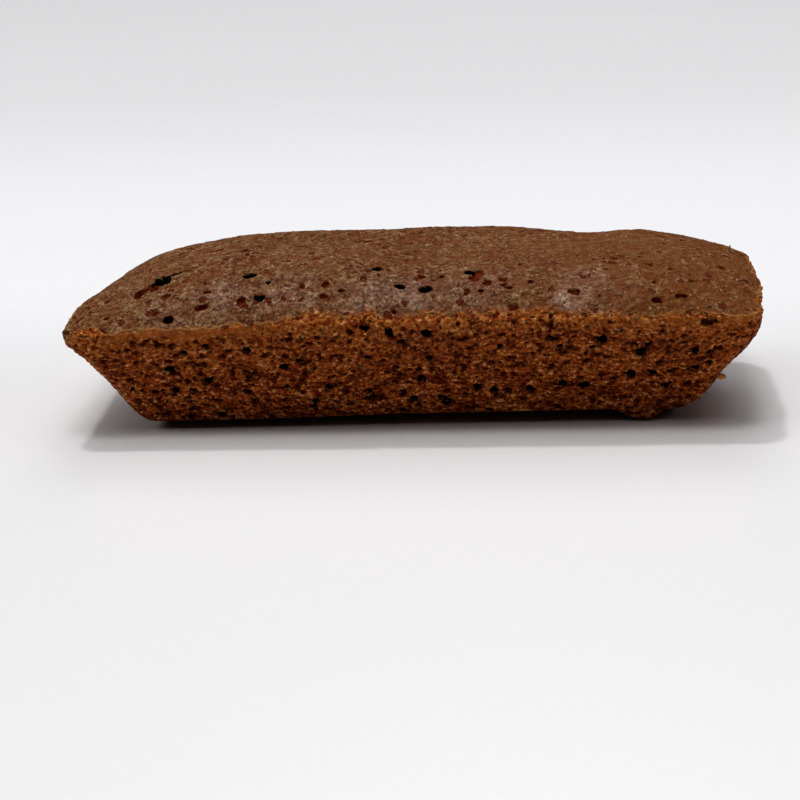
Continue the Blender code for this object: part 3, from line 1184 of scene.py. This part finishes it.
def crust_material(props):
    """A dull brown skin of small flakes, warmer to the right, with a pale film painted on the
    moist spots in front as sheen, painted glints and light rings round the pits, reddish
    pits darkened as painted shade, a painted highlight along its edge, golden crumb where
    its edge is rubbed away, and holes painted black as shade."""
    g = Graph("brown crust")
    pit, hole, wear, lip = (g.painted(name) for name in ("pit", "hole", "wear", "lip"))
    tone, moist = g.painted("tone"), g.painted("moist")
    patches = g.spread(g.blobs(8.0), 0.1)
    flakes = g.spread(g.blobs(1.3, 3.0, 0.65), 0.14)
    grit = g.spread(g.blobs(0.65, 2.0, 0.6), 0.12)
    fine = g.spread(g.blobs(0.36, 1.0), 0.12)
    broken = g.spread(g.blobs(5.0), 0.12)
    spots = g.spread(g.blobs(1.9, 2.0, 0.6), 0.12)
    right = g.step(-0.01, 0.045, g.along("X"))
    small, edge = g.pores(1.7, 0.14, 0.22, 0.6, 0.3, salt=57.0)
    small, edge = (part * g.step(0.0, 0.4, broken) for part in (small, edge))
    # Painted highlights: small light glints.
    glints, _ = g.pores(0.6, 0.12, 0.14, 0.34, 0.12, salt=71.0)
    grade = flakes * 0.18 + grit * 0.25 + fine * 0.3 + patches * 0.09 + tone * 0.12 + 0.03
    skin = g.ramp(
        grade,
        (0.12, props.crust_deep),
        (0.34, props.crust_dark),
        (0.50, props.crust_mid),
        (0.66, props.crust_light),
        (0.92, props.crust_pale),
    )
    skin = g.mix(right * 0.5, skin, props.crust_warm)
    # Painted sheen: a pale film on the moist spots, where the coat gives them real gloss.
    damp_sheen = (g.step(0.3, 0.65, grade) * 0.6 + 0.4) * moist
    skin = g.mix(damp_sheen * 0.5, skin, props.crust_sheen_film)
    # Painted highlights: the glints, and a light ring round each pit.
    skin = g.mix(glints * (grit * 0.6 + 0.25), skin, props.crust_painted_glint)
    skin = g.mix(edge * grit * 0.4, skin, props.crust_painted_glint)
    moister = g.step(0.64, 0.9, spots + wear * 0.3 + (grit - 0.5) * 0.4)
    skin = g.mix(moister * 0.6, skin, props.crust_red)
    # Painted highlight: a light golden line along the crust's edge.
    skin = g.mix(lip * 0.7, skin, props.rubbed_light)
    worn = g.step(0.15, 0.95, wear * (flakes * 0.6 + grit * 0.5 + 0.4))
    rubbed, _ = rubbed_crumb(g, props)
    skin = g.mix(worn, skin, rubbed)
    # Pits painted dark red: the moist crumb's colour with painted shade.
    inside = g.step(0.15, 0.45, pit + (grit - 0.5) * 0.3)
    skin = g.mix(small * (grit * 0.2 + 0.75), skin, props.crust_pit)
    skin = g.mix(inside * 0.95, skin, props.crust_pit)
    # Painted shade: the holes near black.
    dark = g.step(0.15, 0.35, hole)
    skin = g.mix(dark, skin, props.hole_shade_colour)
    g.set(Base_Color=skin, Roughness=0.5 + grit * 0.25)
    g.set(Coat_Weight=damp_sheen * (1 - inside) * (1 - small) * (1 - worn) * 0.35)
    g.set(Normal=g.bump(flakes * 0.7 + grit * 0.45 + fine * 0.2 - small * 2.0, 1.0, 0.2))
    g.fix("Specular IOR Level", 0.02)
    g.fix("Coat Roughness", 0.3)
    return g.material


def loose_material(props):
    """Brown crumbs of mixed tones, with the larger ones golden."""
    g = Graph("loose crumbs")
    grains = g.blobs(0.25)
    tone = g.blobs(2.5)
    golden = g.painted("golden")
    colour = g.mix(g.step(0.4, 0.62, tone), props.crust_light, props.rubbed_dark)
    colour = g.mix(golden * (grains * 0.4 + 0.7), colour, props.loose_gold)
    g.set(Base_Color=colour, Roughness=0.6 + grains * 0.2)
    g.set(Normal=g.bump(grains, 0.8, 0.1))
    g.fix("Specular IOR Level", 0.1)
    return g.material


def floor_material(props):
    """A pale satin floor, painted lighter behind the cake as a pool of painted light, that glows
    pale far out, as painted light, and fades into the surroundings.
    """
    g = Graph("pale floor")
    tone = g.blobs(240.0)
    away = g.along("Y")
    # Painted light: the floor is lighter behind the cake.
    back = g.step(0.0, 0.07, away) * (g.step(0.26, 0.12, away) * 0.6 + 0.4)
    colour = g.mix(back, props.floor_colour, props.floor_back)
    g.set(Base_Color=colour, Roughness=0.22 + tone * 0.06)
    g.fix("Specular IOR Level", 0.2)
    # Far out the floor glows pale: painted light.
    far = g.step(0.45, 1.3, g.vector_math("LENGTH", g.places(), output="Value"))
    g.set(Emission_Color=g.mix(far, (0.0, 0.0, 0.0), props.floor_back))
    g.fix("Emission Strength", 0.68)
    return g.material


# ---------------------------------------------------------------- settings


def colour_property(name, description, screen):
    """A colour setting. Its default is given as a screen colour from 0 to 255."""
    return FloatVectorProperty(
        name=name,
        description=description,
        subtype="COLOR",
        size=3,
        min=0,
        max=1,
        default=linear(screen),
    )


def length_property(name, description, default, least=0.0):
    return FloatProperty(
        name=name, description=description, default=default, min=least, unit="LENGTH"
    )


def angle_property(name, description, degrees):
    return FloatProperty(
        name=name, description=description, default=math.radians(degrees), subtype="ANGLE"
    )


def strength_property(name, description, default):
    return FloatProperty(name=name, description=description, default=default, min=0)


class CakeSettings(PropertyGroup):
    """Sizes and colours of the cake's surfaces."""

    grain: length_property(
        "Grain", "Spacing of the mesh that carries the relief", 0.14 * MM, 0.05 * MM
    )
    pore_depth: FloatProperty(
        name="Pore depth",
        description="Share of their full depth that the crumb's pores have",
        default=1.0,
        min=0,
        max=2,
        subtype="FACTOR",
    )
    triangles: IntProperty(
        name="Triangles",
        description="Most triangles in one piece",
        default=194000,
        min=1000,
        max=199000,
    )
    crumbs: IntProperty(
        name="Loose crumbs",
        description="How many small crumbs cling to the cake",
        default=140,
        min=1,
    )
    seed: IntProperty(name="Seed", description="Changes where the loose crumbs lie", default=4)
    # Darkest crumb, for the pores and the creases between grains: painted shade.
    crumb_pore_shade: colour_property("Crumb, pores", "Inside of the pores of the sides", (62, 12, 2))
    crumb_dark: colour_property("Crumb, dark", "Darker crumb of the sides", (102, 35, 6))
    crumb_mid: colour_property("Crumb, middle", "Most of the crumb of the sides", (143, 61, 14))
    crumb_light: colour_property("Crumb, light", "Lighter crumb of the sides", (172, 92, 36))
    # Lightest grains, and the painted glints: painted highlights.
    crumb_painted_glint: colour_property("Crumb, glints", "Lightest grains of the sides", (216, 146, 92))
    rubbed_pore: colour_property("Rubbed crumb, pores", "Pores at the rubbed rim", (84, 22, 4))
    rubbed_dark: colour_property("Rubbed crumb, dark", "Darker grains at the rim", (122, 50, 12))
    rubbed_mid: colour_property("Rubbed crumb, middle", "Most grains at the rim", (158, 84, 30))
    rubbed_light: colour_property("Rubbed crumb, light", "Golden grains there", (178, 113, 54))
    rubbed_glint: colour_property("Rubbed crumb, glints", "Lightest grains", (214, 160, 102))
    sole_colour: colour_property("Underside", "Brown skin that lay on the tin", (92, 48, 24))
    # Near black for the deep holes: painted shade.
    hole_shade_colour: colour_property("Holes", "Inside of the deepest holes", (8, 3, 3))
    crust_deep: colour_property("Crust, deep", "Darkest grains of the crust", (66, 19, 3))
    crust_dark: colour_property("Crust, dark", "Darker grains of the crust", (89, 48, 21))
    crust_mid: colour_property("Crust, middle", "Most grains of the crust", (105, 70, 40))
    crust_light: colour_property("Crust, light", "Lighter grains of the crust", (116, 83, 54))
    crust_pale: colour_property("Crust, pale", "Palest grains of the crust", (142, 108, 80))
    crust_warm: colour_property("Crust, warm", "Tint of the warmer patches", (106, 58, 21))
    crust_red: colour_property("Crust, moist", "Reddish moist spots of the crust", (100, 47, 17))
    # Painted highlights: glints and the rings round the pits.
    crust_painted_glint: colour_property("Crust, glints", "Small light flecks", (192, 148, 116))
    # Pale film on the moist spots: painted sheen.
    crust_sheen_film: colour_property("Crust, film", "Pale film on the moist spots", (152, 106, 76))
    # Dark red of the pits: the moist crumb's colour with painted shade.
    crust_pit: colour_property("Crust, pits", "Moist crumb in the crust's pits", (88, 24, 3))
    loose_gold: colour_property("Loose crumbs, golden", "The larger stuck crumbs", (200, 136, 66))


class StageSettings(PropertyGroup):
    """The camera, the lights and the floor."""

    azimuth: angle_property("Azimuth", "Turn of the camera to the right of the front", 4.76)
    elevation: angle_property("Elevation", "Angle that the camera looks down", 16.75)
    roll: angle_property("Roll", "Tilt of the picture, anticlockwise", 2.18)
    distance: length_property("Distance", "From the camera to the point it looks at", 0.31922)
    aside: length_property(
        "Aside", "How far the camera's aim lies to the left of the cake's middle", 0.00274
    )
    lens: length_property("Lens", "Focal length of the camera", 0.108)
    light: strength_property("Light", "Brightness of all the lamps", 1.0)
    sky: strength_property("Sky", "Light from the surroundings", 0.015)
    backdrop: strength_property("Backdrop", "How bright the surroundings look", 0.68)
    floor_colour: colour_property("Floor", "Colour of the floor", (224, 223, 224))
    # Painted light: the lighter floor behind the cake, and its glow far out.
    floor_back: colour_property("Floor, back", "The floor behind the cake", (240, 240, 243))


# ---------------------------------------------------------------- operators


def hand_in(piece, material):
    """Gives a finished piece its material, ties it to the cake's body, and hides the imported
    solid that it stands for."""
    piece.data.materials.clear()
    piece.data.materials.append(material)
    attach(piece, "root")
    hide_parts(NODE)
    deselect_all()


class CAKE_OT_crumb(Operator):
    """Make the open crumb of the sides and the underside"""

    bl_idname = "cake.crumb"
    bl_label = "Crumb"

    def execute(self, context):
        props = context.scene.chocolate_cake
        piece = bake_crumb(props.grain, props.pore_depth, props.triangles)
        hand_in(piece, crumb_material(props))
        return {"FINISHED"}


class CAKE_OT_crust(Operator):
    """Make the domed brown crust"""

    bl_idname = "cake.crust"
    bl_label = "Crust"

    def execute(self, context):
        props = context.scene.chocolate_cake
        piece = bake_crust(props.grain, props.triangles)
        hand_in(piece, crust_material(props))
        return {"FINISHED"}


class CAKE_OT_loose_crumbs(Operator):
    """Scatter the loose crumbs that cling to the cake"""

    bl_idname = "cake.loose_crumbs"
    bl_label = "Loose crumbs"

    def execute(self, context):
        props = context.scene.chocolate_cake
        piece = scatter_crumbs(props.crumbs, props.seed)
        hand_in(piece, loose_material(props))
        return {"FINISHED"}


def add_lamp(name, spot, size, power):
    """A round lamp that shines on the cake."""
    bpy.ops.object.light_add(type="AREA", location=spot)
    lamp = bpy.context.object
    lamp.name = lamp.data.name = name
    lamp.data.shape = "DISK"
    lamp.data.size = size
    lamp.data.energy = power
    lamp.rotation_euler = Vector(spot).to_track_quat("Z", "Y").to_euler()
    return lamp


def add_surroundings(props):
    """A pale room: it looks bright, and sheds only a little light of its own."""
    world = bpy.data.worlds.new("studio")
    world.use_nodes = True
    nodes, links = world.node_tree.nodes, world.node_tree.links
    nodes["Background"].inputs["Color"].default_value = (0.97, 0.98, 1.0, 1)
    strength = nodes.new("ShaderNodeMapRange")
    strength.inputs["To Min"].default_value = props.sky
    strength.inputs["To Max"].default_value = props.backdrop
    seen = nodes.new("ShaderNodeLightPath").outputs["Is Camera Ray"]
    links.new(seen, strength.inputs["Value"])
    links.new(strength.outputs["Result"], nodes["Background"].inputs["Strength"])
    bpy.context.scene.world = world


def add_camera(props):
    """The camera, aimed at the cake from the front, a little above and to the right."""
    bpy.ops.object.camera_add()
    camera = bpy.context.object
    camera.name = camera.data.name = "camera"
    camera.data.lens = props.lens / MM
    camera.data.clip_start = 10 * MM
    ahead = Vector((0, math.cos(props.elevation), -math.sin(props.elevation)))
    above = Vector((0, math.sin(props.elevation), math.cos(props.elevation)))
    right = Vector((1, 0, 0))
    side = math.cos(props.roll) * right - math.sin(props.roll) * above
    top = math.cos(props.roll) * above + math.sin(props.roll) * right
    spot = Vector((-props.aside, 0, 0)) - props.distance * ahead
    turn = Matrix.Rotation(props.azimuth, 3, "Z")
    stand = Matrix([turn @ axis for axis in (side, top, -ahead)]).transposed().to_4x4()
    stand.translation = turn @ spot
    camera.matrix_world = stand
    bpy.context.scene.camera = camera


class CAKE_OT_stage(Operator):
    """Set up the floor, the lights and the camera"""

    bl_idname = "cake.stage"
    bl_label = "Stage"

    def execute(self, context):
        props = context.scene.cake_stage
        deselect_all()
        bpy.ops.mesh.primitive_plane_add(size=6.0, location=(0, 0, 0))
        floor = context.object
        floor.name = floor.data.name = "floor"
        floor.data.materials.append(floor_material(props))
        for name, spot, size, power in LAMPS:
            add_lamp(name, spot, size, power * props.light)
        add_surroundings(props)
        context.scene.view_settings.view_transform = "Standard"
        add_camera(props)
        return {"FINISHED"}


class CAKE_PT_panel(Panel):
    """Lists the cake's settings and steps"""

    bl_label = "Chocolate Cake"
    bl_space_type = "VIEW_3D"
    bl_region_type = "UI"
    bl_category = "Chocolate Cake"

    def draw(self, context):
        layout = self.layout
        for props in (context.scene.chocolate_cake, context.scene.cake_stage):
            box = layout.box()
            for name in props.__annotations__:
                box.prop(props, name)
        for step in STEPS:
            layout.operator(step.bl_idname)


STEPS = (CAKE_OT_crumb, CAKE_OT_crust, CAKE_OT_loose_crumbs, CAKE_OT_stage)
CLASSES = (CakeSettings, StageSettings, *STEPS, CAKE_PT_panel)


def register():
    for made in CLASSES:
        bpy.utils.register_class(made)
    bpy.types.Scene.chocolate_cake = PointerProperty(type=CakeSettings)
    bpy.types.Scene.cake_stage = PointerProperty(type=StageSettings)


def unregister():
    del bpy.types.Scene.cake_stage
    del bpy.types.Scene.chocolate_cake
    for made in reversed(CLASSES):
        bpy.utils.unregister_class(made)


def main():
    register()
    bpy.ops.cake.crumb()
    bpy.ops.cake.crust()
    bpy.ops.cake.loose_crumbs()
    bpy.ops.cake.stage()


if __name__ == "__main__":
    main()
